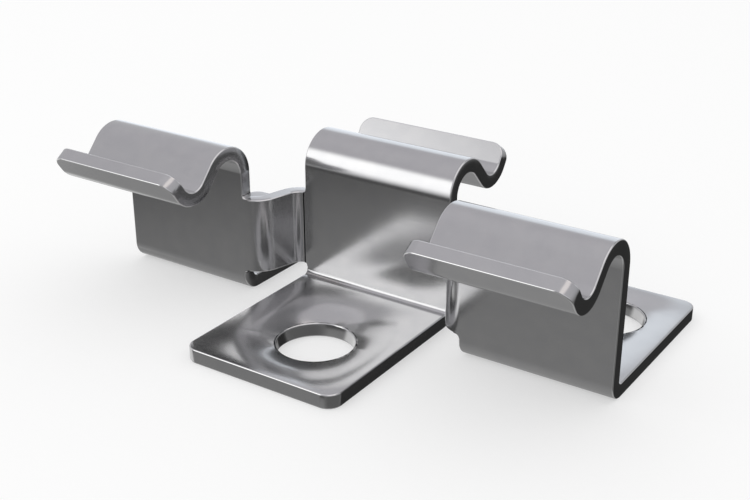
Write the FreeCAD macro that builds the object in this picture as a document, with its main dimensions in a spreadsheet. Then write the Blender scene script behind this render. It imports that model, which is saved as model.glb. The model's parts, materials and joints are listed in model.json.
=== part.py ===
import FreeCAD, Part
import math
import os
from enum import IntEnum

import Sketcher
from FreeCAD import Placement, Rotation, Vector

# A screw-down cable clip folded from one blank of stainless sheet. Three tabs stand side by side, joined
# by two narrow webs. Each tab is one strip: a flat foot with a screw hole, an upright panel, and a hook
# that rolls over the cable, dips into a trough and ends in a raised lip. The middle tab stands further
# back and faces the other way, so the hooks grip the cable from both sides.

# Driving sizes, in millimetres and degrees. X runs along the row of tabs from the middle of the centre
# tab, Y from the front face of the side tabs towards the back, Z up from the underside of the feet.
SIZES = {
    "sheet_thickness": 1.6,
    "centre_width": 19.2,
    "side_width": 17.4,
    "tab_gap": 4.7,
    "jog_depth": 5.65,
    "foot_length": 23.4,
    "foot_bend_radius": 0.6,
    "foot_corner_radius": 1.6,
    "hole_diameter": 8.4,
    "hole_to_toe": 8.5,
    "hole_offset": 1.4,
    "arch_height": 14.75,
    "arch_radius": 2.15,
    "ramp_angle": 42.5,
    "ramp_length": 2.15,
    "trough_radius": 1.8,
    "lip_angle": 34.0,
    "lip_length": 2.3,
    "lip_corner_radius": 1.6,
    "web_bottom": 2.85,
    "web_top": 11.75,
    "web_turn": 75.0,
    "relief_radius": 0.5,
}
RIGHT_ANGLE = 90.0
HALF_TURN = 180.0
NORMAL = Vector(0, 0, 1)

# The two faces of the sheet, seen along the way a profile is drawn
LEFT, RIGHT = +1, -1
FACES = (LEFT, RIGHT)


class Point(IntEnum):
    """Which point of a line, arc or circle a sketch constraint takes."""

    START = 1
    END = 2
    CENTRE = 3


# The sketch's own axes, as its constraints number them
X_AXIS, Y_AXIS = -1, -2

# How close an edge lies to the place and length that it is looked up by
SAME = 1e-4


def polar(length, degrees):
    angle = math.radians(degrees)
    return Vector(length * math.cos(angle), length * math.sin(angle), 0)


def arc_of(centre, radius, first, second):
    """An arc that runs anticlockwise between two directions, given in degrees in any order."""
    low, high = sorted((first, second))
    return Part.ArcOfCircle(Part.Circle(centre, NORMAL, radius), math.radians(low), math.radians(high))


# Places that follow from the sizes
def side_start():
    """X of the inner edge of the right tab."""
    return SIZES["centre_width"] / 2 + SIZES["tab_gap"]


def centre_rear():
    """Y of the rear face of the centre tab's panel, where its foot starts."""
    return SIZES["jog_depth"] + SIZES["sheet_thickness"]


def outer_foot_bend():
    return SIZES["foot_bend_radius"] + SIZES["sheet_thickness"]


# Document and sketch helpers
def size_sheet(document):
    sheet = document.addObject("Spreadsheet::Sheet", "Sizes")
    for row, (name, value) in enumerate(SIZES.items(), start=1):
        sheet.set(f"A{row}", name)
        sheet.set(f"B{row}", str(value))
        sheet.setAlias(f"B{row}", name)


def origin_plane(body, role):
    return next(plane for plane in body.Origin.OriginFeatures if plane.Role == role)


def new_sketch(body, name, plane_role):
    sketch = body.newObject("Sketcher::SketchObject", name)
    sketch.AttachmentSupport = [(origin_plane(body, plane_role), "")]
    sketch.MapMode = "FlatFace"
    return sketch


def constrain(sketch, kind, *elements):
    return sketch.addConstraint(Sketcher.Constraint(kind, *elements))


def drive(sketch, expression, kind, *elements):
    """Adds a dimension to the sketch and binds it to the sheet of sizes."""
    index = constrain(sketch, kind, *elements)
    sketch.setExpression(f"Constraints[{index}]", expression)


class BentSheet:
    """The edge-on outline of a sheet: straight runs joined by tangent bends, drawn as both its faces."""

    def __init__(self, sketch, start, heading):
        self.sketch = sketch
        self.place = start
        self.heading = heading
        self.half = SIZES["sheet_thickness"] / 2
        self.lines = {LEFT: [], RIGHT: []}
        self.arcs = {LEFT: [], RIGHT: []}
        self.arc_end = None

    def run(self, length, expression=None):
        """Goes straight on; with no expression, other constraints settle the length."""
        reach = polar(length, self.heading)
        for face in FACES:
            offset = polar(face * self.half, self.heading + RIGHT_ANGLE)
            segment = Part.LineSegment(self.place + offset, self.place + reach + offset)
            line = self.sketch.addGeometry(segment)
            if self.arcs[face]:
                constrain(self.sketch, "Tangent", self.arcs[face][-1], self.arc_end, line, Point.START)
            self.lines[face].append(line)
        if self.arcs[LEFT]:
            constrain(self.sketch, "Parallel", self.lines[LEFT][-1], self.lines[RIGHT][-1])
        if expression:
            drive(self.sketch, expression, "Distance", self.lines[LEFT][-1], length)
        self.place = self.place + reach

    def bend(self, inside, turn, inside_expression=None, turn_expression=None):
        """Turns left, or right for a negative turn, and returns the arc on the inside of the bend."""
        way = LEFT if turn > 0 else RIGHT
        middle = inside + self.half
        centre = self.place + polar(way * middle, self.heading + RIGHT_ANGLE)
        first = self.heading - way * RIGHT_ANGLE
        arc_start, self.arc_end = (Point.START, Point.END) if turn > 0 else (Point.END, Point.START)
        for face in FACES:
            radius = middle - way * face * self.half
            arc = self.sketch.addGeometry(arc_of(centre, radius, first, first + turn))
            constrain(self.sketch, "Tangent", self.lines[face][-1], Point.END, arc, arc_start)
            self.arcs[face].append(arc)
        constrain(self.sketch, "Coincident", self.arcs[LEFT][-1], Point.CENTRE, self.arcs[RIGHT][-1], Point.CENTRE)
        inner = self.arcs[way][-1]
        if inside_expression:
            drive(self.sketch, inside_expression, "Radius", inner, inside)
        if turn_expression:
            drive(self.sketch, turn_expression, "Angle", inner, math.radians(abs(turn)))
        self.place = centre + polar(middle, first + turn)
        self.heading += turn
        return inner

    def close(self):
        """Squares off both ends and sets the thickness."""
        first = self.cap(Point.START, 0)
        constrain(self.sketch, "Perpendicular", first, self.lines[RIGHT][0])
        drive(self.sketch, "Sizes.sheet_thickness", "Distance", first, SIZES["sheet_thickness"])
        self.cap(Point.END, -1)

    def cap(self, point, which):
        left, right = self.lines[LEFT][which], self.lines[RIGHT][which]
        ends = (self.sketch.getPoint(left, point), self.sketch.getPoint(right, point))
        cap = self.sketch.addGeometry(Part.LineSegment(*ends))
        constrain(self.sketch, "Coincident", cap, Point.START, left, point)
        constrain(self.sketch, "Coincident", cap, Point.END, right, point)
        constrain(self.sketch, "Perpendicular", cap, left)
        return cap


# Tabs
def draw_tab(sketch):
    """One tab from toe to lip, with its foot on the X axis and its panel's outer face on the Y axis.

    Returns the middle of the lip's end.
    """
    arch_turn = HALF_TURN - SIZES["ramp_angle"]
    trough_turn = arch_turn - SIZES["lip_angle"]
    toe = Vector(SIZES["foot_length"], SIZES["sheet_thickness"] / 2, 0)
    strip = BentSheet(sketch, toe, HALF_TURN)
    strip.run(SIZES["foot_length"] - outer_foot_bend(),
              "Sizes.foot_length - Sizes.foot_bend_radius - Sizes.sheet_thickness")
    strip.bend(SIZES["foot_bend_radius"], -RIGHT_ANGLE, "Sizes.foot_bend_radius", str(RIGHT_ANGLE))
    strip.run(SIZES["arch_height"] - outer_foot_bend(),
              "Sizes.arch_height - Sizes.foot_bend_radius - Sizes.sheet_thickness")
    strip.bend(SIZES["arch_radius"], arch_turn, "Sizes.arch_radius", "180 - Sizes.ramp_angle")
    strip.run(SIZES["ramp_length"], "Sizes.ramp_length")
    strip.bend(SIZES["trough_radius"], -trough_turn, "Sizes.trough_radius",
               "180 - Sizes.ramp_angle - Sizes.lip_angle")
    strip.run(SIZES["lip_length"], "Sizes.lip_length")
    strip.close()
    underside, outer_panel = strip.lines[LEFT][:2]
    constrain(sketch, "PointOnObject", underside, Point.START, X_AXIS)
    constrain(sketch, "PointOnObject", outer_panel, Point.START, Y_AXIS)
    constrain(sketch, "Vertical", outer_panel)
    return strip.place


def pad_tab(body, name, width):
    """Pads a tab's outline to the width that the named size gives; returns sketch, pad and lip end."""
    sketch = new_sketch(body, f"{name}_profile", "YZ_Plane")
    lip = draw_tab(sketch)
    pad = body.newObject("PartDesign::Pad", name)
    pad.Profile = sketch
    pad.Length = SIZES[width]
    pad.setExpression("Length", f"Sizes.{width}")
    pad.Refine = True
    return sketch, pad, lip


def centre_tab(body):
    """The centre tab is turned about: its foot runs forward and its hook opens to the back.

    Returns the middle of the lip's end, as Y and Z.
    """
    sketch, pad, lip = pad_tab(body, "centre_tab", "centre_width")
    sketch.AttachmentOffset = Placement(Vector(centre_rear(), 0, 0), Rotation(Vector(0, 1, 0), HALF_TURN))
    sketch.setExpression("AttachmentOffset.Base.x", "Sizes.jog_depth + Sizes.sheet_thickness")
    pad.SideType = "Symmetric"
    return centre_rear() - lip.x, lip.y


def side_tab(body):
    """The right tab: its foot runs back and its hook opens to the front.

    Returns the pad and the middle of the lip's end, as Y and Z.
    """
    sketch, pad, lip = pad_tab(body, "side_tab", "side_width")
    sketch.AttachmentOffset = Placement(Vector(0, 0, side_start()), Rotation())
    sketch.setExpression("AttachmentOffset.Base.z", "Sizes.centre_width / 2 + Sizes.tab_gap")
    return pad, (lip.x, lip.y)


# Webs
def draw_web(sketch):
    """The web in plan: out of the centre panel, through two equal bends and into the side panel."""
    turn = math.radians(SIZES["web_turn"])
    gap, jog, thickness = SIZES["tab_gap"], SIZES["jog_depth"], SIZES["sheet_thickness"]
    sine, versine = math.sin(turn), 1 - math.cos(turn)
    middle = (gap * sine - jog * math.cos(turn)) / (2 * versine)
    slope = (jog - 2 * middle * versine) / sine
    start = Vector(SIZES["centre_width"] / 2 - thickness, jog + thickness / 2, 0)
    strip = BentSheet(sketch, start, 0)
    strip.run(thickness, "Sizes.sheet_thickness")
    rear_bend = strip.bend(middle - thickness / 2, -SIZES["web_turn"], None, "Sizes.web_turn")
    strip.run(slope)
    front_bend = strip.bend(middle - thickness / 2, SIZES["web_turn"])
    strip.run(thickness, "Sizes.sheet_thickness")
    strip.close()
    constrain(sketch, "Equal", rear_bend, front_bend)
    inlet, _, outlet = strip.lines[RIGHT]
    constrain(sketch, "Horizontal", inlet)
    constrain(sketch, "Horizontal", outlet)
    constrain(sketch, "PointOnObject", outlet, Point.END, X_AXIS)
    drive(sketch, "Sizes.jog_depth", "DistanceY", X_AXIS, Point.START, inlet, Point.START, jog)
    drive(sketch, "Sizes.centre_width / 2", "DistanceX", X_AXIS, Point.START, rear_bend, Point.CENTRE,
          SIZES["centre_width"] / 2)
    drive(sketch, "Sizes.tab_gap", "DistanceX", rear_bend, Point.CENTRE, front_bend, Point.CENTRE, gap)


def web(body):
    """The right web, padded past its top and bottom edges by the size of the reliefs."""
    sketch = new_sketch(body, "web_plan", "XY_Plane")
    draw_web(sketch)
    lowest = SIZES["web_bottom"] - SIZES["relief_radius"]
    sketch.AttachmentOffset = Placement(Vector(0, 0, lowest), Rotation())
    sketch.setExpression("AttachmentOffset.Base.z", "Sizes.web_bottom - Sizes.relief_radius")
    pad = body.newObject("PartDesign::Pad", "web")
    pad.Profile = sketch
    pad.Length = SIZES["web_top"] - SIZES["web_bottom"] + 2 * SIZES["relief_radius"]
    pad.setExpression("Length", "Sizes.web_top - Sizes.web_bottom + 2 * Sizes.relief_radius")
    pad.Refine = True
    return pad


def draw_relief(sketch, edge, outward):
    """A flat-bottomed notch between two tabs with quarter-round corners, open away from the web."""
    radius = SIZES["relief_radius"]
    near, far = SIZES[edge], SIZES[edge] + outward * radius
    left, right = SIZES["centre_width"] / 2, side_start()
    floor_ends = (Vector(left + radius, near, 0), Vector(right - radius, near, 0))
    floor = sketch.addGeometry(Part.LineSegment(*floor_ends))
    mouth = sketch.addGeometry(Part.LineSegment(Vector(left, far, 0), Vector(right, far, 0)))
    down = -outward * RIGHT_ANGLE
    for centre_x, toward, line_end in ((left + radius, -1, Point.START), (right - radius, +1, Point.END)):
        sweep = outward * toward * RIGHT_ANGLE
        corner = sketch.addGeometry(arc_of(Vector(centre_x, far, 0), radius, down, down + sweep))
        at_floor, at_mouth = (Point.START, Point.END) if sweep > 0 else (Point.END, Point.START)
        constrain(sketch, "Tangent", corner, at_floor, floor, line_end)
        constrain(sketch, "Coincident", corner, at_mouth, mouth, line_end)
        constrain(sketch, "PointOnObject", corner, Point.CENTRE, mouth)
        drive(sketch, "Sizes.relief_radius", "Radius", corner, radius)
    constrain(sketch, "Horizontal", floor)
    drive(sketch, f"Sizes.{edge}", "DistanceY", X_AXIS, Point.START, floor, Point.START, near)
    drive(sketch, "Sizes.centre_width / 2", "DistanceX", X_AXIS, Point.START, mouth, Point.START, left)
    drive(sketch, "Sizes.tab_gap", "DistanceX", mouth, Point.START, mouth, Point.END, right - left)


def relief(body, name, edge, outward):
    """Cuts the web back to the named edge and leaves a round corner against each tab."""
    sketch = new_sketch(body, f"{name}_outline", "XZ_Plane")
    draw_relief(sketch, edge, outward)
    pocket = body.newObject("PartDesign::Pocket", name)
    pocket.Profile = sketch
    pocket.Type = "ThroughAll"
    pocket.SideType = "Symmetric"
    return pocket


# Screw holes
def screw_hole(body, name, x, x_expression, y, y_expression):
    sketch = new_sketch(body, f"{name}_circle", "XY_Plane")
    circle = sketch.addGeometry(Part.Circle(Vector(x, y, 0), NORMAL, SIZES["hole_diameter"] / 2))
    drive(sketch, "Sizes.hole_diameter", "Diameter", circle, SIZES["hole_diameter"])
    drive(sketch, x_expression, "DistanceX", X_AXIS, Point.START, circle, Point.CENTRE, x)
    drive(sketch, y_expression, "DistanceY", X_AXIS, Point.START, circle, Point.CENTRE, y)
    pocket = body.newObject("PartDesign::Pocket", name)
    pocket.Profile = sketch
    pocket.Reversed = True
    pocket.Length = SIZES["sheet_thickness"]
    pocket.setExpression("Length", "Sizes.sheet_thickness")
    return pocket


def centre_hole(body):
    y = centre_rear() - SIZES["foot_length"] + SIZES["hole_to_toe"]
    return screw_hole(body, "centre_hole", SIZES["hole_offset"], "Sizes.hole_offset", y,
                      "Sizes.jog_depth + Sizes.sheet_thickness - Sizes.foot_length + Sizes.hole_to_toe")


def side_hole(body):
    x = side_start() + SIZES["side_width"] / 2 + SIZES["hole_offset"]
    return screw_hole(body, "side_hole", x,
                      "Sizes.centre_width / 2 + Sizes.tab_gap + Sizes.side_width / 2 + Sizes.hole_offset",
                      SIZES["foot_length"] - SIZES["hole_to_toe"], "Sizes.foot_length - Sizes.hole_to_toe")


# Rounded corners of the blank
def corner_edges(shape, ends):
    """The sheet's cut edges whose middles lie at one of the given ends, each a Y and a Z."""
    names = []
    for number, edge in enumerate(shape.Edges, start=1):
        if abs(edge.Length - SIZES["sheet_thickness"]) > SAME:
            continue
        middle = edge.CenterOfMass
        if any(math.hypot(middle.y - y, middle.z - z) < SAME for y, z in ends):
            names.append(f"Edge{number}")
    return names


def round_corners(body, name, ends, radius):
    base = body.Tip
    fillet = body.newObject("PartDesign::Fillet", name)
    fillet.Base = (base, corner_edges(base.Shape, ends))
    fillet.Radius = SIZES[radius]
    fillet.setExpression("Radius", f"Sizes.{radius}")


def cable_clip(document):
    """The whole clip: centre tab, then the right web and tab, mirrored to the left."""
    body = document.addObject("PartDesign::Body", "cable_clip")
    body.Label = "cable_clip"
    body.Placement = Placement()
    centre_lip = centre_tab(body)
    right_web = web(body)
    right_tab, side_lip = side_tab(body)
    right_half = [
        right_web,
        right_tab,
        relief(body, "upper_relief", "web_top", +1),
        relief(body, "lower_relief", "web_bottom", -1),
        side_hole(body),
    ]
    centre_hole(body)
    document.recompute()
    left_half = body.newObject("PartDesign::Mirrored", "left_half")
    left_half.Originals = right_half
    left_half.MirrorPlane = (origin_plane(body, "YZ_Plane"), [""])
    left_half.Refine = True
    body.Tip = left_half
    document.recompute()
    sheet_middle = SIZES["sheet_thickness"] / 2
    toes = [(SIZES["foot_length"], sheet_middle), (centre_rear() - SIZES["foot_length"], sheet_middle)]
    round_corners(body, "foot_corners", toes, "foot_corner_radius")
    document.recompute()
    round_corners(body, "lip_corners", [centre_lip, side_lip], "lip_corner_radius")
    document.recompute()
    return body


def check(document, bodies):
    """Stops the build if a feature failed, a sketch is loose or a solid is unsound."""
    for item in document.Objects:
        if "Invalid" in item.State or "Error" in item.State:
            raise RuntimeError(f"{item.Label} failed: {item.State}")
        if item.isDerivedFrom("Sketcher::SketchObject") and not item.FullyConstrained:
            raise RuntimeError(f"{item.Label} is not fully constrained")
    for body in bodies:
        shape = body.Shape
        if shape.isNull() or not shape.isValid() or len(shape.Solids) != 1:
            raise RuntimeError(f"{body.Label} is not one sound solid")


document = FreeCAD.newDocument("cable_clip")
size_sheet(document)
document.recompute()
bodies = [cable_clip(document)]
check(document, bodies)
os.makedirs("parts", exist_ok=True)
for body in bodies:
    body.Shape.exportStep(f"parts/{body.Label}.step")
    print(f"{body.Label}: {body.Shape.Volume:.1f} cubic mm, {len(body.Shape.Faces)} faces")
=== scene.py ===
# %% [markdown]
# # A folded stainless cable clip
# This lesson dresses one part: a clip cut from a single blank of bright stainless sheet and folded, so
# that three hooked tabs stand on drilled feet. The construction comes in as a fixed frame. Everything
# below is about the looks: a smooth, finely bent sheet, its broken edges, its polished skin and the
# studio that the skin mirrors.

import json
import math
from collections import namedtuple

import bmesh
import bpy
from mathutils import Matrix, Vector


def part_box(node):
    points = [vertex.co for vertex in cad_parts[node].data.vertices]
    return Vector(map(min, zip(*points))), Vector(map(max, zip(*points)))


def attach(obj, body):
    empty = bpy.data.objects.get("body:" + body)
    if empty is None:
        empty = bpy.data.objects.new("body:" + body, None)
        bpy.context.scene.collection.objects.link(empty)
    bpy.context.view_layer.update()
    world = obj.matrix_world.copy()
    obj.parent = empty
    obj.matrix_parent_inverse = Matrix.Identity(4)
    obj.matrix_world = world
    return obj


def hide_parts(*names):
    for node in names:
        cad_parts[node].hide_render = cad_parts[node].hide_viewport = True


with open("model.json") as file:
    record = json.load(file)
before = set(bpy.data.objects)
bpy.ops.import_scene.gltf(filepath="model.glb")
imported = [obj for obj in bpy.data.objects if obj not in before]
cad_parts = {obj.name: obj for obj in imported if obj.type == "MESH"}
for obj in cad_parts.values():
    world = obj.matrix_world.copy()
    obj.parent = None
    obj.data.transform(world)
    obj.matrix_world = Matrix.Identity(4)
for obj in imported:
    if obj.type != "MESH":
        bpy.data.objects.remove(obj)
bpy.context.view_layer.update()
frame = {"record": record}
low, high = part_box("cable_clip")
print("frame:", [round(v * 1000, 2) for v in high - low], "mm")

# %% [markdown]
# ## Sizes
# The clip is built in metres in the frame's own axes: X along the row of tabs, Y towards the back, Z up
# from the feet. Hole places and sizes come from the part's record, because the holes are its mounts. The
# sizes of the fold are the driving sizes of the real clip, written here in millimetres.

# %% Sizes of the sheet and of its folds
MM = 0.001
mounts = {mount["name"]: mount for mount in frame["record"]["mounts"]}
centre_hole = Vector(mounts["centre_screw_hole"]["pos_m"])
side_hole = Vector(mounts["right_screw_hole"]["pos_m"])
HOLE_RADIUS = mounts["centre_screw_hole"]["dims"]["r_mm"] * MM
SHEET = mounts["centre_screw_hole"]["dims"]["length_mm"] * MM
HALF = SHEET / 2

CENTRE_WIDTH = mounts["centre_cable_channel"]["dims"]["length_mm"] * MM
SIDE_WIDTH = mounts["right_cable_channel"]["dims"]["length_mm"] * MM
GAP = high.x - SIDE_WIDTH - CENTRE_WIDTH / 2
JOG = 5.65 * MM
FOOT = high.y
FOOT_BEND = 0.6 * MM
ARCH_HEIGHT = mounts["centre_cable_channel"]["pos_m"][2]
ARCH = mounts["centre_cable_channel"]["dims"]["r_mm"] * MM
RAMP = 2.15 * MM
RAMP_ANGLE = 42.5
TROUGH = 1.8 * MM
LIP = 2.3 * MM
LIP_ANGLE = 34.0
CORNER = 1.6 * MM
WEB_BOTTOM = 2.85 * MM
WEB_TOP = 11.75 * MM
WEB_TURN = 75.0
RELIEF = 0.5 * MM
EDGE_BREAK = 0.13 * MM
print("sheet", round(SHEET / MM, 2), "mm, gap between tabs", round(GAP / MM, 2), "mm")

# %% [markdown]
# ## The folds as paths
# A bent sheet is easiest to describe by the line down the middle of its thickness: straight runs and
# round bends, one after the other. A path here is a list of such pieces. Walking a distance along it
# gives a place and a heading, and that is all a fold needs.

# %% Walking along a bent line
Piece = namedtuple("Piece", "length turn")
SAME = 1e-7


def run(length):
    return Piece(length, 0.0)


def bend(inside, degrees):
    """A bend of the given inside radius: to the left for positive degrees, to the right for negative."""
    turn = math.radians(degrees)
    return Piece((inside + HALF) * abs(turn), turn)


def walk(path, distance):
    """Place and heading after walking along the path from the origin, starting along its first axis.

    The last piece goes on for as long as the distance asks.
    """
    place = Vector((0.0, 0.0))
    heading = 0.0
    for number, piece in enumerate(path):
        last = number == len(path) - 1
        step = distance if last else min(distance, piece.length)
        turned = piece.turn * step / piece.length
        if abs(piece.turn) < SAME:
            chord = step
        else:
            chord = piece.length / piece.turn * 2 * math.sin(turned / 2)
        along = heading + turned / 2
        place += Vector((math.cos(along), math.sin(along))) * chord
        heading += turned
        distance -= step
        if distance <= 0:
            break
    return place, heading


bend_height = FOOT_BEND + SHEET
foot_path = (bend(FOOT_BEND, 90), run(FOOT - bend_height))
hook_path = (
    bend(ARCH, 180 - RAMP_ANGLE),
    run(RAMP),
    bend(TROUGH, RAMP_ANGLE + LIP_ANGLE - 180),
    run(LIP),
)
foot_length = sum(piece.length for piece in foot_path)
hook_length = sum(piece.length for piece in hook_path)
TOE = bend_height - foot_length
LIP_END = ARCH_HEIGHT + hook_length
print("blank runs from", round(TOE / MM, 2), "to", round(LIP_END / MM, 2), "mm along a tab")

# %% [markdown]
# The web between two tabs is an S in plan: two equal bends and the straight between them. Its turn is
# given, and the tabs' gap and offset then settle the bends' radius and the straight.

# %% The path of the web
web_turn = math.radians(WEB_TURN)
versine = 1 - math.cos(web_turn)
web_middle = (GAP * math.sin(web_turn) - JOG * math.cos(web_turn)) / (2 * versine)
web_straight = (JOG - 2 * web_middle * versine) / math.sin(web_turn)
web_inside = web_middle - HALF
web_path = (bend(web_inside, WEB_TURN), run(web_straight), bend(web_inside, -WEB_TURN))
web_length = sum(piece.length for piece in web_path)
print("web bends", round(web_inside / MM, 2), "mm inside, developed", round(web_length / MM, 2), "mm")

# %% [markdown]
# ## The flat blank
# The real clip is cut flat and then folded, and the mesh is made in that order too. In the flat, every
# cut is plain 2-D work and the whole rim can be rounded at once. Flat X runs across the tabs, flat Y
# along them with the panels at their true height, and flat Z is the front of the sheet.
#
# Rows of edges are cut where bends will be, close enough together that a mirror finish shows no facets.

# %% A tab of the blank
BEND_STEPS = 28
STEPS_PER_TURN = BEND_STEPS / math.radians(90)


def bend_lines(path, start, way):
    """Flat places of the fold lines of a path that leaves the panel at start, up or down."""
    lines = []
    place = start
    for piece in path:
        steps = max(1, round(abs(piece.turn) * STEPS_PER_TURN))
        lines += [place + way * piece.length * step / steps for step in range(steps)]
        place += way * piece.length
    return lines


def cut_across(bm, normal, places):
    """Cuts the flat sheet along straight lines across one of its axes."""
    for place in places:
        everything = bm.verts[:] + bm.edges[:] + bm.faces[:]
        bmesh.ops.bisect_plane(bm, geom=everything, dist=SAME, plane_co=normal * place, plane_no=normal)


def flat_rectangle(x_low, x_high, y_low, y_high):
    bm = bmesh.new()
    bmesh.ops.create_grid(bm, x_segments=1, y_segments=1, size=0.5)
    bmesh.ops.scale(bm, vec=(x_high - x_low, y_high - y_low, 1), verts=bm.verts)
    middle = Vector(((x_low + x_high) / 2, (y_low + y_high) / 2, 0))
    bmesh.ops.translate(bm, vec=middle, verts=bm.verts)
    return bm


ALONG_TABS = Vector((0, 1, 0))
ACROSS_TABS = Vector((1, 0, 0))
CORNER_STEPS = 14
web_rows = [WEB_BOTTOM - RELIEF, WEB_BOTTOM, WEB_TOP, WEB_TOP + RELIEF]


def blank_tab(x_low, x_high):
    """One tab of the blank: rounded at toe and lip, with the rows that its folds need."""
    bm = flat_rectangle(x_low, x_high, TOE, LIP_END)
    corners = bm.verts[:]
    bmesh.ops.bevel(
        bm, geom=corners, offset=CORNER, offset_type="OFFSET", affect="VERTICES",
        segments=CORNER_STEPS, profile=0.5, material=-1,
    )
    rows = bend_lines(foot_path, bend_height, -1) + web_rows + bend_lines(hook_path, ARCH_HEIGHT, +1)
    cut_across(bm, ALONG_TABS, rows)
    return bm


centre_blank = blank_tab(-CENTRE_WIDTH / 2, CENTRE_WIDTH / 2)
flat_side = CENTRE_WIDTH / 2 + web_length
right_blank = blank_tab(flat_side, flat_side + SIDE_WIDTH)
print("tab blanks:", len(centre_blank.faces), "and", len(right_blank.faces), "faces")

# %% [markdown]
# ## The webs in the flat
# A web is a plain rectangle with fold lines. Where it meets a tab the real cutter leaves a round corner,
# so the web flares out to the tab's edge along a quarter circle. Each flare is extruded from the edges
# at the web's corner, and its new points are then lifted onto that circle.

# %% A web of the blank
FLARE_STEPS = 6
flare_angles = [math.radians(90) * step / FLARE_STEPS for step in range(1, FLARE_STEPS + 1)]
flare_places = [RELIEF * (1 - math.cos(angle)) for angle in flare_angles]


def flare(bm, edge_y, outward, tab_x, inward):
    """Widens one corner of the web to the tab at tab_x, along a quarter circle."""
    reach = tab_x + inward * RELIEF
    near = [
        edge for edge in bm.edges
        if all(abs(v.co.y - edge_y) < SAME and abs(v.co.x - tab_x) < RELIEF + SAME for v in edge.verts)
    ]
    grown = bmesh.ops.extrude_edge_only(bm, edges=near)["geom"]
    for vert in (item for item in grown if isinstance(item, bmesh.types.BMVert)):
        across = min(RELIEF, abs(reach - vert.co.x))
        vert.co.y = edge_y + outward * (RELIEF - math.sqrt(RELIEF**2 - across**2))


def blank_web(x_low, x_high):
    bm = flat_rectangle(x_low, x_high, WEB_BOTTOM, WEB_TOP)
    lines = bend_lines(web_path, x_low, +1)[1:]
    lines += [x_low + place for place in flare_places] + [x_high - place for place in flare_places]
    cut_across(bm, ACROSS_TABS, lines)
    for edge_y, outward in ((WEB_BOTTOM, -1), (WEB_TOP, +1)):
        flare(bm, edge_y, outward, x_low, +1)
        flare(bm, edge_y, outward, x_high, -1)
    bmesh.ops.remove_doubles(bm, verts=bm.verts, dist=SAME)
    return bm


web_blank = blank_web(CENTRE_WIDTH / 2, flat_side)
print("web blank:", len(web_blank.faces), "faces")

# %% [markdown]
# ## Screw holes
# The foot is one flat face until now. It is taken out and filled again round a disc of rings about the
# hole, which leaves the hole open and gives the metal next to it enough points to be shaped later.

# %% Rings round a hole
HOLE_SIDES = 96
RING_RADIUS = 7.0 * MM
RINGS = 22


def open_hole(bm, x, y):
    """Replaces the foot's face by rings about a hole at x, y and a flat fill out to the foot's edges."""
    foot = next(face for face in bm.faces if min(v.co.y for v in face.verts) < TOE + SAME)
    rim = foot.edges[:]
    bmesh.ops.delete(bm, geom=[foot], context="FACES_ONLY")
    place = Matrix.Translation((x, y, 0))
    disc = bmesh.ops.create_circle(bm, radius=RING_RADIUS, segments=HOLE_SIDES, matrix=place)["verts"]
    outline = list({edge for vert in disc for edge in vert.link_edges})
    bmesh.ops.triangle_fill(bm, edges=rim + outline, use_beauty=True, normal=(0, 0, 1))
    radius = RING_RADIUS
    for step in range(1, RINGS + 1):
        smaller = RING_RADIUS + (HOLE_RADIUS - RING_RADIUS) * step / RINGS
        grown = bmesh.ops.extrude_edge_only(bm, edges=outline)["geom"]
        ring = [item for item in grown if isinstance(item, bmesh.types.BMVert)]
        shrink = smaller / radius
        bmesh.ops.scale(bm, vec=(shrink, shrink, 1), space=Matrix.Translation((-x, -y, 0)), verts=ring)
        outline = [edge for edge in grown if isinstance(edge, bmesh.types.BMEdge)]
        outline = [edge for edge in outline if all(vert in ring for vert in edge.verts)]
        radius = smaller


flat_hole_y = TOE + FOOT - side_hole.y
flat_side_hole_x = flat_side + side_hole.x - CENTRE_WIDTH / 2 - GAP
open_hole(centre_blank, centre_hole.x, flat_hole_y)
open_hole(right_blank, flat_side_hole_x, flat_hole_y)
print("tab blanks with holes:", len(centre_blank.faces), "and", len(right_blank.faces), "faces")

# %% [markdown]
# ## One blank
# The pieces of the blank are joined and welded where they share edges: the centre tab once, the web and
# the side tab on the right, and the same two mirrored to the left. The sheet then gets its thickness by
# being extruded, front and back at an equal distance from the middle plane, and its whole rim is
# rounded. The faces of that rounding are marked, so that the metal there can be made smoother by polish
# and brighter by a painted highlight.

# %% Join, thicken and round the rim
blank = bmesh.new()


def join(bm, matrix=Matrix.Identity(4)):
    mesh = bpy.data.meshes.new("blank_piece")
    bm.to_mesh(mesh)
    mesh.transform(matrix)
    blank.from_mesh(mesh)
    bpy.data.meshes.remove(mesh)


join(centre_blank)
for side in (+1, -1):
    mirrored = Matrix.Scale(side, 4, Vector((1, 0, 0)))
    join(web_blank, mirrored)
    join(right_blank, mirrored)
for bm in (centre_blank, web_blank, right_blank):
    bm.free()
bmesh.ops.remove_doubles(blank, verts=blank.verts, dist=SAME)
bmesh.ops.recalc_face_normals(blank, faces=blank.faces)

bmesh.ops.translate(blank, vec=(0, 0, -HALF), verts=blank.verts)
front = bmesh.ops.extrude_face_region(blank, geom=blank.faces[:])["geom"]
front_points = [item for item in front if isinstance(item, bmesh.types.BMVert)]
bmesh.ops.translate(blank, vec=(0, 0, SHEET), verts=front_points)
bmesh.ops.recalc_face_normals(blank, faces=blank.faces)

SHARP = math.radians(60)
ROUND_STEPS = 3
BROKEN_EDGE = "broken_edge"
rim_edges = [edge for edge in blank.edges if edge.is_manifold and edge.calc_face_angle() > SHARP]
broken_edge = blank.faces.layers.float.new(BROKEN_EDGE)
rounded = bmesh.ops.bevel(
    blank, geom=rim_edges, offset=EDGE_BREAK, offset_type="OFFSET", affect="EDGES",
    segments=ROUND_STEPS, profile=0.5, material=-1,
)["faces"]
for face in rounded:
    face[broken_edge] = 1.0
print("blank:", len(blank.verts), "points,", len(blank.faces), "faces,", len(rounded), "on broken edges")

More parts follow.
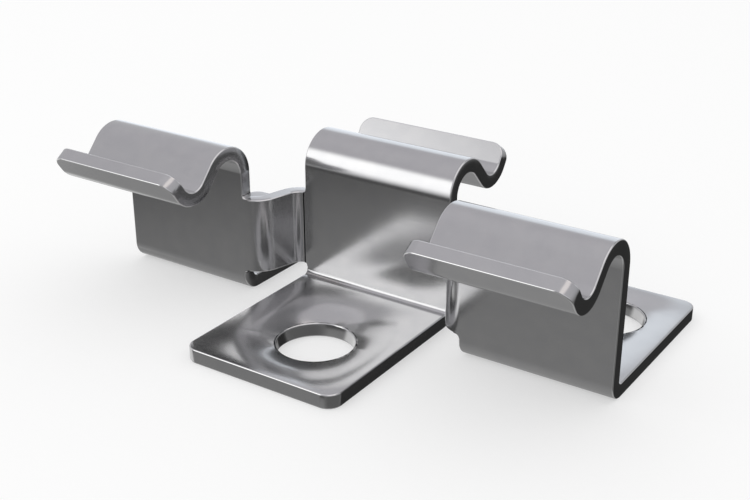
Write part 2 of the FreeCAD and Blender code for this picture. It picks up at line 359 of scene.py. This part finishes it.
# %% [markdown]
# ## Folding
# Each point of the flat blank is carried to its place on the folded clip. A point on the panel keeps its
# height. Past the panel's ends it follows the foot's or the hook's path, and between tabs it follows the
# web's path. Its depth in the sheet is measured square to the path, so the thickness stays true.

# %% Fold every point
centre_middle = JOG + HALF
side_middle = HALF


def fold_end(path, start, way, toward, middle, y, depth):
    """Y and Z of a point past one end of a panel; toward is the way the path turns, +1 for the back."""
    place, heading = walk(path, way * (y - start))
    left = Vector((-math.sin(heading), math.cos(heading)))
    place += left * (-toward * depth)
    return middle + toward * place.y, start + way * place.x


def fold_tab(y, depth, middle, hook_toward):
    """Y and Z of a point of a tab whose hook turns to the back for +1 and to the front for -1."""
    if y < bend_height:
        return fold_end(foot_path, bend_height, -1, -hook_toward, middle, y, depth)
    if y > ARCH_HEIGHT:
        return fold_end(hook_path, ARCH_HEIGHT, +1, hook_toward, middle, y, depth)
    return middle - depth, y


def fold(point):
    x, y, depth = point
    side = math.copysign(1, x)
    from_centre = abs(x) - CENTRE_WIDTH / 2
    if from_centre <= SAME:
        return Vector((x, *fold_tab(y, depth, centre_middle, +1)))
    from_side = abs(x) - flat_side
    if from_side >= -SAME:
        out = CENTRE_WIDTH / 2 + GAP + from_side
        return Vector((side * out, *fold_tab(y, depth, side_middle, -1)))
    place, heading = walk(web_path, from_centre)
    place += Vector((-math.sin(heading), math.cos(heading))) * depth
    return Vector((side * (CENTRE_WIDTH / 2 + place.x), centre_middle - place.y, y))


for vert in blank.verts:
    vert.co = fold(vert.co)
bmesh.ops.recalc_face_normals(blank, faces=blank.faces)
print("folded volume", round(blank.calc_volume() * 1e9, 1), "cubic mm")

# %% [markdown]
# ## The finished piece
# The folded mesh becomes one smooth object that stands for the frame's own solid. Weighted normals let
# the broad flat faces keep their flatness, so that only bends and broken edges turn the light.

# %% Make the object
FLATNESS_WEIGHT = 50
mesh = bpy.data.meshes.new("folded_sheet")
blank.to_mesh(mesh)
blank.free()
mesh.shade_smooth()
folded_sheet = bpy.data.objects.new("folded_sheet", mesh)
bpy.context.scene.collection.objects.link(folded_sheet)
flatness = folded_sheet.modifiers.new("flat faces stay flat", "WEIGHTED_NORMAL")
flatness.mode = "FACE_AREA"
flatness.weight = FLATNESS_WEIGHT
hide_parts("cable_clip")
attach(folded_sheet, "root")
print("folded sheet:", sum(len(p.vertices) - 2 for p in mesh.polygons), "triangles")

# %% [markdown]
# ## Wiring nodes
# Every look below is a small graph of nodes. This helper adds nodes to one graph and wires them in the
# same breath, so that a formula reads from left to right. It lays them out in rows, which only matters
# to a reader who opens the graph.

# %% A helper for node graphs
NODES_PER_ROW = 12
NODE_WIDTH = 200
NODE_HEIGHT = 260


class Wires:
    """Adds nodes to one tree. A value given to a node is a number, a tuple or another node's socket."""

    def __init__(self, tree):
        self.tree = tree
        self.count = 0

    def add(self, kind, *values, **settings):
        node = self.tree.nodes.new(kind)
        self.count += 1
        row, column = divmod(self.count, NODES_PER_ROW)
        node.location = (column * NODE_WIDTH, -row * NODE_HEIGHT)
        for name, setting in settings.items():
            setattr(node, name, setting)
        for socket, value in zip(node.inputs, values):
            self.feed(socket, value)
        return node

    def feed(self, socket, value):
        if isinstance(value, bpy.types.NodeSocket):
            self.tree.links.new(value, socket)
        elif value is not None:
            socket.default_value = value

    def math(self, operation, *values):
        return self.add("ShaderNodeMath", *values, operation=operation).outputs[0]

    def vector(self, operation, *values):
        return self.add("ShaderNodeVectorMath", *values, operation=operation).outputs

    def rise(self, value, low, high):
        """0 below low, 1 above high and a smooth rise between."""
        smooth = {"interpolation_type": "SMOOTHSTEP"}
        return self.add("ShaderNodeMapRange", value, low, high, 0.0, 1.0, **smooth).outputs[0]

    def window(self, value, low, high, soft):
        """1 between low and high, fading to 0 over soft on both sides."""
        up = self.rise(value, low - soft, low + soft)
        down = self.rise(value, high - soft, high + soft)
        return self.math("SUBTRACT", up, down)

    def ramp(self, value, stops):
        """A colour ramp; each stop is a place and a grey or a colour."""
        node = self.add("ShaderNodeValToRGB", value)
        elements = node.color_ramp.elements
        while len(elements) < len(stops):
            elements.new(0.5)
        for element, (place, colour) in zip(elements, stops):
            element.position = place
            element.color = (*colour, 1) if isinstance(colour, tuple) else (colour, colour, colour, 1)
        return node.outputs["Color"]

    def mix(self, factor, first, second):
        """The first colour where the factor is 0 and the second where it is 1."""
        node = self.add("ShaderNodeMix", data_type="RGBA")
        for name, value in (("Factor", factor), ("A", first), ("B", second)):
            sockets = [socket for socket in node.inputs if socket.name == name and socket.enabled]
            self.feed(sockets[0], value)
        return next(socket for socket in node.outputs if socket.enabled)


print("helper calls:", [name for name in vars(Wires) if not name.startswith("_")])

# %% [markdown]
# ## Bright stainless
# The skin of the real clip is cold-rolled stainless with a bright, lightly brushed finish. Its grain
# runs along the row of tabs, and long soft waves are left in the sheet by rolling. Three noises on
# Object coordinates give them: a fine grain that is drawn out along X, waves without detail, and clouds
# that later vary the colour.

# %% The rolled skin
GRAIN_SIZE = 0.18 * MM
GRAIN_STRETCH = 40.0
GRAIN_DETAIL = 2.0
WAVE_SIZE = 6.0 * MM
WAVE_DETAIL = 0.0
CLOUD_SIZE = 2.0 * MM
CLOUD_DETAIL = 3.0

steel = bpy.data.materials.new("bright_stainless")
steel.use_nodes = True
steel_shader = steel.node_tree.nodes["Principled BSDF"]
metal = Wires(steel.node_tree)
where = metal.add("ShaderNodeTexCoord").outputs["Object"]
place_x, place_y, place_z = metal.add("ShaderNodeSeparateXYZ", where).outputs


def noise(position, size, detail):
    texture = metal.add("ShaderNodeTexNoise", position)
    texture.inputs["Scale"].default_value = 1 / size
    texture.inputs["Detail"].default_value = detail
    return texture.outputs[0]


short_x = metal.math("DIVIDE", place_x, GRAIN_STRETCH)
drawn_out = metal.add("ShaderNodeCombineXYZ", short_x, place_y, place_z).outputs[0]
grain = noise(drawn_out, GRAIN_SIZE, GRAIN_DETAIL)
waves = noise(where, WAVE_SIZE, WAVE_DETAIL)
clouds = noise(where, CLOUD_SIZE, CLOUD_DETAIL)
grain_size = (GRAIN_SIZE * GRAIN_STRETCH / MM, GRAIN_SIZE / MM)
print("grain", [round(v, 2) for v in grain_size], "mm along and across")

# %% [markdown]
# ## Metal drawn in round the holes
# A punch drags the skin of the sheet towards its hole. The holes' rims still lie level with the feet, so
# the outline shows nothing of it, but a mirror does: the photograph has a swirl round the front hole. So
# it is made as a height for the Bump and not as a change of the mesh. The skin leans towards the hole,
# most at the rim, ever less away from it and not at all along the foot's outline. A little more lean on
# the side of the bend matches the photograph. Only level faces that look up get it.

# %% Depth of the pull round the holes
RIM_SLOPE = 0.52
RIM_SLOPE_MORE = 0.24
PULLED_WAY = Vector((-0.25, 0.97, 0))
OUTLINE_BLEND = 6.0 * MM
LEVEL_FACE = (0.97, 0.995)


def pulled_in(hole, foot_x, half_width, bend_y, toe_y):
    """Height round one hole of the foot that lies about foot_x, between its bend and its toe.

    It is 0 on the outline and falls towards the rim, ever more steeply, up to the slope asked for.
    """
    bend_side = math.copysign(1, bend_y - toe_y)
    away = metal.vector("SUBTRACT", where, tuple(hole))["Vector"]
    away = metal.vector("MULTIPLY", away, (1, 1, 0))["Vector"]
    from_axis = metal.vector("LENGTH", away)["Value"]
    from_rim = metal.math("MAXIMUM", metal.math("SUBTRACT", from_axis, HOLE_RADIUS), 0)

    from_middle = metal.math("ABSOLUTE", metal.math("SUBTRACT", place_x, foot_x))
    to_side = metal.math("SUBTRACT", half_width, from_middle)
    to_toe = metal.math("MULTIPLY", metal.math("SUBTRACT", place_y, toe_y), bend_side)
    to_bend = metal.math("MULTIPLY", metal.math("SUBTRACT", bend_y, place_y), bend_side)
    to_end = metal.math("SMOOTH_MIN", to_toe, to_bend, OUTLINE_BLEND)
    to_outline = metal.math("MAXIMUM", metal.math("SMOOTH_MIN", to_side, to_end, OUTLINE_BLEND), 0)

    way = metal.vector("NORMALIZE", away)["Vector"]
    pulled_way = tuple(PULLED_WAY * Vector((1, bend_side, 1)))
    facing = metal.math("MAXIMUM", metal.vector("DOT_PRODUCT", way, pulled_way)["Value"], 0)
    slope = metal.math("MULTIPLY_ADD", facing, RIM_SLOPE_MORE, RIM_SLOPE)
    share = metal.math("DIVIDE", to_outline, metal.math("ADD", from_rim, to_outline))
    fall = metal.math("MULTIPLY", metal.math("MULTIPLY", share, to_outline), slope)
    # At the rim, share times to_outline changes twice as fast as to_outline does.
    return metal.math("MULTIPLY", fall, -1 / 2)


side_x = CENTRE_WIDTH / 2 + GAP + SIDE_WIDTH / 2
front_bend = JOG - FOOT_BEND
back_bend = SHEET + FOOT_BEND
pull_height = pulled_in(centre_hole, 0.0, CENTRE_WIDTH / 2, front_bend, JOG + SHEET - FOOT)
for side in (+1, -1):
    hole = side_hole * Vector((side, 1, 1))
    side_pull = pulled_in(hole, side * side_x, SIDE_WIDTH / 2, back_bend, FOOT)
    pull_height = metal.math("ADD", pull_height, side_pull)
true_normal = metal.add("ShaderNodeNewGeometry").outputs["True Normal"]
facing_up = metal.vector("DOT_PRODUCT", true_normal, (0, 0, 1))["Value"]
level_top = metal.rise(facing_up, *LEVEL_FACE)
print("pull nodes:", metal.count)

# %% [markdown]
# ## Relief of the metal
# Grain and waves turn the light everywhere. The pull round the holes is a second Bump on top of theirs,
# whose strength is 1 on level faces that look up and 0 elsewhere, also in the holes' own walls. Blender
# can correct a bump where it turns a reflection below the surface. Here the correction is off, because
# the photograph has a dark crescent beside the front hole, just where the reflection would be lost.

# %% Bumps
WAVE_HEIGHT = 0.012 * MM
GRAIN_HEIGHT = 0.00035 * MM
TRUE_HEIGHT = 1.0

fine_height = metal.math("MULTIPLY", waves, WAVE_HEIGHT)
fine_height = metal.math("MULTIPLY_ADD", grain, GRAIN_HEIGHT, fine_height)
fine_bump = metal.add("ShaderNodeBump")
fine_bump.inputs["Distance"].default_value = TRUE_HEIGHT
metal.feed(fine_bump.inputs["Height"], fine_height)
bump = metal.add("ShaderNodeBump")
bump.inputs["Distance"].default_value = TRUE_HEIGHT
metal.feed(bump.inputs["Strength"], level_top)
metal.feed(bump.inputs["Height"], pull_height)
metal.feed(bump.inputs["Normal"], fine_bump.outputs["Normal"])
steel.cycles.use_bump_map_correction = False
print("waves", round(WAVE_HEIGHT / MM, 4), "mm and grain", round(GRAIN_HEIGHT / MM, 5), "mm high")

# %% [markdown]
# ## Colour and gloss of the metal
# A real sheet is never even, so its colour follows the clouds by a few percent and its roughness the
# grain by about a tenth. Hands, cables and the tumbling drum polish the broken edges, so on the marked
# faces the metal is smoother. Its colour is also brighter there, as a painted highlight that makes
# thin light lines follow the edges. A thin clear film, such as rolling oil leaves, lies over the metal
# and keeps a faint sheen where the metal itself mirrors something dark.

# %% Metal
CLOUD_COLOURS = ((0.3, (0.545, 0.545, 0.552)), (0.7, (0.58, 0.578, 0.58)))
GRAIN_ROUGHNESS = ((0.25, 0.15), (0.75, 0.19))
# The brighter colour on the broken edges is a painted highlight; their lower roughness is real polish.
EDGE_HIGHLIGHT_COLOUR = (0.80, 0.80, 0.80, 1)
POLISHED_ROUGHNESS = (0.07, 0.07, 0.07, 1)
FILM_WEIGHT = 1.0
FILM_ROUGHNESS = 0.12

colour = metal.ramp(clouds, CLOUD_COLOURS)
roughness = metal.ramp(grain, GRAIN_ROUGHNESS)
polish_and_highlight = metal.add("ShaderNodeAttribute", attribute_name=BROKEN_EDGE).outputs["Fac"]
# On the broken edges the colour is raised as a painted highlight, and the roughness is lowered as real
# polish.
metal.feed(steel_shader.inputs["Base Color"], metal.mix(polish_and_highlight, colour, EDGE_HIGHLIGHT_COLOUR))
metal.feed(steel_shader.inputs["Roughness"], metal.mix(polish_and_highlight, roughness, POLISHED_ROUGHNESS))
metal.feed(steel_shader.inputs["Normal"], bump.outputs["Normal"])
steel_shader.inputs["Metallic"].default_value = 1.0
steel_shader.inputs["Coat Weight"].default_value = FILM_WEIGHT
steel_shader.inputs["Coat Roughness"].default_value = FILM_ROUGHNESS
mesh.materials.append(steel)
print("metal nodes:", len(steel.node_tree.nodes))

# %% [markdown]
# ## Camera
# The place and the lens were solved from the clip's own straight edges and right angles in the
# photograph. The camera is close to such a small object, about 14 cm, so its perspective is strong.

# %% Camera
CAMERA_AZIMUTH = 33.69
CAMERA_ELEVATION = 24.07
CAMERA_PLACE = Vector((69.938, -99.186, 63.184)) * MM
LENS = 58.90
SENSOR = 36
NEAREST = 5 * MM
FARTHEST = 20.0


def toward(azimuth_degrees, elevation_degrees):
    """A direction away from the clip; azimuth is from the front towards the right."""
    azimuth, elevation = math.radians(azimuth_degrees), math.radians(elevation_degrees)
    level = math.cos(elevation)
    return Vector((math.sin(azimuth) * level, -math.cos(azimuth) * level, math.sin(elevation)))


def place_facing_back(item, place, way):
    """Puts a camera or a lamp at a place, looking against the way that leads from the clip to it."""
    item.location = place
    item.rotation_mode = "QUATERNION"
    item.rotation_quaternion = (-way).to_track_quat("-Z", "Y")
    bpy.context.scene.collection.objects.link(item)


camera_data = bpy.data.cameras.new("camera")
camera_data.lens = LENS
camera_data.sensor_width = SENSOR
camera_data.clip_start = NEAREST
camera_data.clip_end = FARTHEST
camera = bpy.data.objects.new("camera", camera_data)
place_facing_back(camera, CAMERA_PLACE, toward(CAMERA_AZIMUTH, CAMERA_ELEVATION))
bpy.context.scene.camera = camera
bpy.context.scene.view_settings.view_transform = "Standard"
print("camera at", [round(v / MM, 1) for v in CAMERA_PLACE], "mm")

# %% [markdown]
# ## White room
# The clip stands in a white room. The photograph's page is pure white, so the room is full white where
# it is seen, and a little less where it only lights the clip and the floor.

# %% Room
ROOM_LIGHT = 0.9


def seen_directly(wires):
    """1 for rays that show a background: from the camera, off a mirror or through glass."""
    path = wires.add("ShaderNodeLightPath").outputs
    seen = wires.math("MAXIMUM", path["Is Camera Ray"], path["Is Glossy Ray"])
    return wires.math("MAXIMUM", seen, path["Is Transmission Ray"])


world = bpy.data.worlds.new("white_room")
world.use_nodes = True
bpy.context.scene.world = world
room = Wires(world.node_tree)
room_light = world.node_tree.nodes["Background"]
room_light.inputs["Color"].default_value = (1, 1, 1, 1)
brightness = room.math("MULTIPLY_ADD", seen_directly(room), 1 - ROOM_LIGHT, ROOM_LIGHT)
room.feed(room_light.inputs["Strength"], brightness)
print("room light", ROOM_LIGHT, "and 1 where it is seen")

# %% [markdown]
# ## Floor
# The clip lies on a pale floor. Almost half of the floor's white is its own light, so the soft shadow
# that the clip casts on it stays, but stays light. Reflections leave the floor out, because the metal in
# the photograph mirrors a dark ground although its page is white.

# %% Floor
FLOOR_SIZE = 6.0
FLOOR_DROP = 0.04 * MM
FLOOR_WHITE = 0.55
FLOOR_ROUGHNESS = 0.9


def stage_object(name, bm, material):
    stage_mesh = bpy.data.meshes.new(name)
    bm.to_mesh(stage_mesh)
    bm.free()
    stage_mesh.materials.append(material)
    item = bpy.data.objects.new(name, stage_mesh)
    bpy.context.scene.collection.objects.link(item)
    return item


paper = bpy.data.materials.new("pale_floor")
paper.use_nodes = True
paper_shader = paper.node_tree.nodes["Principled BSDF"]
floor_wires = Wires(paper.node_tree)
paper_shader.inputs["Base Color"].default_value = (FLOOR_WHITE, FLOOR_WHITE, FLOOR_WHITE, 1)
paper_shader.inputs["Roughness"].default_value = FLOOR_ROUGHNESS
paper_shader.inputs["Specular IOR Level"].default_value = 0.0
paper_shader.inputs["Emission Color"].default_value = (1, 1, 1, 1)
own_white = floor_wires.math("MULTIPLY", seen_directly(floor_wires), 1 - FLOOR_WHITE)
floor_wires.feed(paper_shader.inputs["Emission Strength"], own_white)
floor_bm = bmesh.new()
bmesh.ops.create_grid(floor_bm, x_segments=1, y_segments=1, size=FLOOR_SIZE / 2)
bmesh.ops.translate(floor_bm, vec=(0, 0, -FLOOR_DROP), verts=floor_bm.verts)
floor = stage_object("floor", floor_bm, paper)
floor.visible_glossy = False
print("floor", FLOOR_SIZE, "m wide,", round(FLOOR_DROP / MM, 2), "mm under the feet")

# %% [markdown]
# ## Softbox
# One soft lamp, high in front to the left, gives the floor's shadow a side. It is left out of
# reflections too, because the tent holds all that the metal is meant to mirror.

# %% Softbox
LAMP_AZIMUTH = -37.0
LAMP_ELEVATION = 48.0
LAMP_DISTANCE = 0.6
LAMP_SIZE = 0.35
LAMP_POWER = 0.35

lamp_data = bpy.data.lights.new("softbox", "AREA")
lamp_data.shape = "SQUARE"
lamp_data.size = LAMP_SIZE
lamp_data.energy = LAMP_POWER
lamp = bpy.data.objects.new("softbox", lamp_data)
lamp_way = toward(LAMP_AZIMUTH, LAMP_ELEVATION)
place_facing_back(lamp, lamp_way * LAMP_DISTANCE, lamp_way)
lamp.visible_glossy = False
print("softbox at", [round(v, 2) for v in lamp.location], "m")

# %% [markdown]
# ## The tent
# Polished metal has hardly any look of its own: it shows what stands round it. Photographers therefore
# put it in a tent, with bright windows and dark flags placed by what they do in the mirror. Here the
# tent is one big ball that only reflections see. Going by the photograph, it is dark below the horizon
# and an even grey above it. A place on it is told by two angles: the turn round the clip, from the front
# towards the left, and the rise over the horizon.

# %% Tent cloth from the ground to the top
GROUND_TO_TOP = (
    (-90, (0.36, 0.36, 0.36)),
    (-60, (0.34, 0.34, 0.34)),
    (-24, (0.265, 0.265, 0.265)),
    (-15, (0.30, 0.30, 0.30)),
    (-6, (0.38, 0.38, 0.39)),
    (0, (0.48, 0.48, 0.50)),
    (12, (0.56, 0.56, 0.58)),
    (45, (0.60, 0.59, 0.62)),
    (62, (0.65, 0.64, 0.67)),
    (90, (0.66, 0.65, 0.68)),
)

tent_cloth = bpy.data.materials.new("tent_cloth")
tent_cloth.use_nodes = True
tent_cloth.node_tree.nodes.clear()
tent = Wires(tent_cloth.node_tree)
centre_out = tent.vector("NORMALIZE", tent.add("ShaderNodeTexCoord").outputs["Object"])["Vector"]
right, back, up = tent.add("ShaderNodeSeparateXYZ", centre_out).outputs
rise = tent.math("MULTIPLY", tent.math("ARCSINE", up), math.degrees(1))
left, front = tent.math("MULTIPLY", right, -1), tent.math("MULTIPLY", back, -1)
turn = tent.math("MULTIPLY", tent.math("ARCTAN2", left, front), math.degrees(1))
back_turn = tent.math("MULTIPLY", tent.math("ARCTAN2", right, back), math.degrees(1))
light = tent.ramp(
    tent.math("DIVIDE", tent.math("ADD", rise, 90), 180),
    [((degrees + 90) / 180, tone) for degrees, tone in GROUND_TO_TOP],
)
print("tent cloth:", len(GROUND_TO_TOP), "tones from the ground to the top")

# %% [markdown]
# ## Panels in the tent
# Each panel is a light or dark patch with soft borders, and a later one covers those before it. The
# shades dim what would be too bright high up, the glows and flags lie lower, and the skylight is to the
# right overhead. Last comes the tall bright window in front to the left.
#
# What a panel is for can be read backwards from the mirror. The camera stands in front to the right and
# looks down. So the upright faces show what is in front to the left and below the horizon, the hooks'
# ramps show what hangs higher up, and the flat feet show the far side, a little above the horizon.

# %% Panels
Panel = namedtuple("Panel", "light around turns turn_blur rises rise_blur")
WINDOW_LIGHT = (1.75, 1.75, 1.75)
GLOW_LIGHT = (0.98, 1.03, 1.10)
SHADE_LIGHT = (0.30, 0.30, 0.31)
SHEET_LIGHT = (0.80, 0.80, 0.80)
SKYLIGHT = (1.12, 1.06, 1.05)
FLAG_GREY = (0.15, 0.15, 0.15)
FLAG_DARK = (0.085, 0.085, 0.085)
FLAG_BLACK = (0.035, 0.035, 0.035)

SHADES = (
    Panel(SHADE_LIGHT, turn, (-28, 17), 5, (10, 56), 8),
    Panel(SHADE_LIGHT, back_turn, (-18, 45), 6, (22, 52), 8),
)
SKYLIGHT_SIDE = (0.12, 0.30)
SKYLIGHT_RISES = (48, 74)
SKYLIGHT_BLUR = 5
GLOWS_AND_FLAGS = (
    Panel(GLOW_LIGHT, turn, (141, 168), 5, (-12, 28), 6),
    Panel(GLOW_LIGHT, turn, (130, 150), 5, (-16, 8), 7),
    Panel(FLAG_DARK, turn, (-10, 62), 8, (-21.5, -9), 2.5),
    Panel(FLAG_GREY, turn, (-135, -18), 32, (-50, -15), 3),
    Panel(FLAG_GREY, turn, (-110, -18), 25, (-50, -8), 6),
    Panel(FLAG_BLACK, turn, (-190, -134), 7, (-50, -12), 4),
    Panel(SHEET_LIGHT, turn, (62, 125), 8, (-40, -8), 6),
)
WINDOW_TURNS = (22, 49)
WINDOW_BLUR = 5
WINDOW_FOOT = (-12, 10)
WINDOW_TOP = (32, 46)


def hang(light, tone, across, upright):
    """Hangs a panel in the tent where its mask across and its mask upright meet."""
    return tent.mix(tent.math("MULTIPLY", across, upright), light, (*tone, 1))


def hang_all(light, panels):
    for panel in panels:
        across = tent.window(panel.around, *panel.turns, panel.turn_blur)
        light = hang(light, panel.light, across, tent.window(rise, *panel.rises, panel.rise_blur))
    return light


light = hang_all(light, SHADES)
skylight_height = tent.window(rise, *SKYLIGHT_RISES, SKYLIGHT_BLUR)
light = hang(light, SKYLIGHT, tent.rise(right, *SKYLIGHT_SIDE), skylight_height)
light = hang_all(light, GLOWS_AND_FLAGS)
window_top = tent.math("SUBTRACT", 1, tent.rise(rise, *WINDOW_TOP))
window_height = tent.math("MULTIPLY", tent.rise(rise, *WINDOW_FOOT), window_top)
light = hang(light, WINDOW_LIGHT, tent.window(turn, *WINDOW_TURNS, WINDOW_BLUR), window_height)
print("panels:", len(SHADES) + len(GLOWS_AND_FLAGS), "and a skylight and a window")

# %% [markdown]
# ## The tent's ball
# The cloth is the light of a ball far round the clip, with its faces turned inwards. Only reflections
# see it, so it adds nothing to the picture but what the metal mirrors.

# %% Ball
TENT_RADIUS = 5.0
BALL_ROUNDNESS = 5
tent.add("ShaderNodeOutputMaterial", tent.add("ShaderNodeEmission", light, 1.0).outputs[0])
tent_bm = bmesh.new()
bmesh.ops.create_icosphere(tent_bm, subdivisions=BALL_ROUNDNESS, radius=TENT_RADIUS)
bmesh.ops.reverse_faces(tent_bm, faces=tent_bm.faces)
tent_wall = stage_object("tent", tent_bm, tent_cloth)
tent_wall.visible_camera = False
tent_wall.visible_diffuse = False
tent_wall.visible_shadow = False
tent_wall.visible_transmission = False
print("tent nodes:", tent.count)

# %% [markdown]
# ## Staying in the frame's box
# The finished piece must stay inside the box of the frame's own solid.
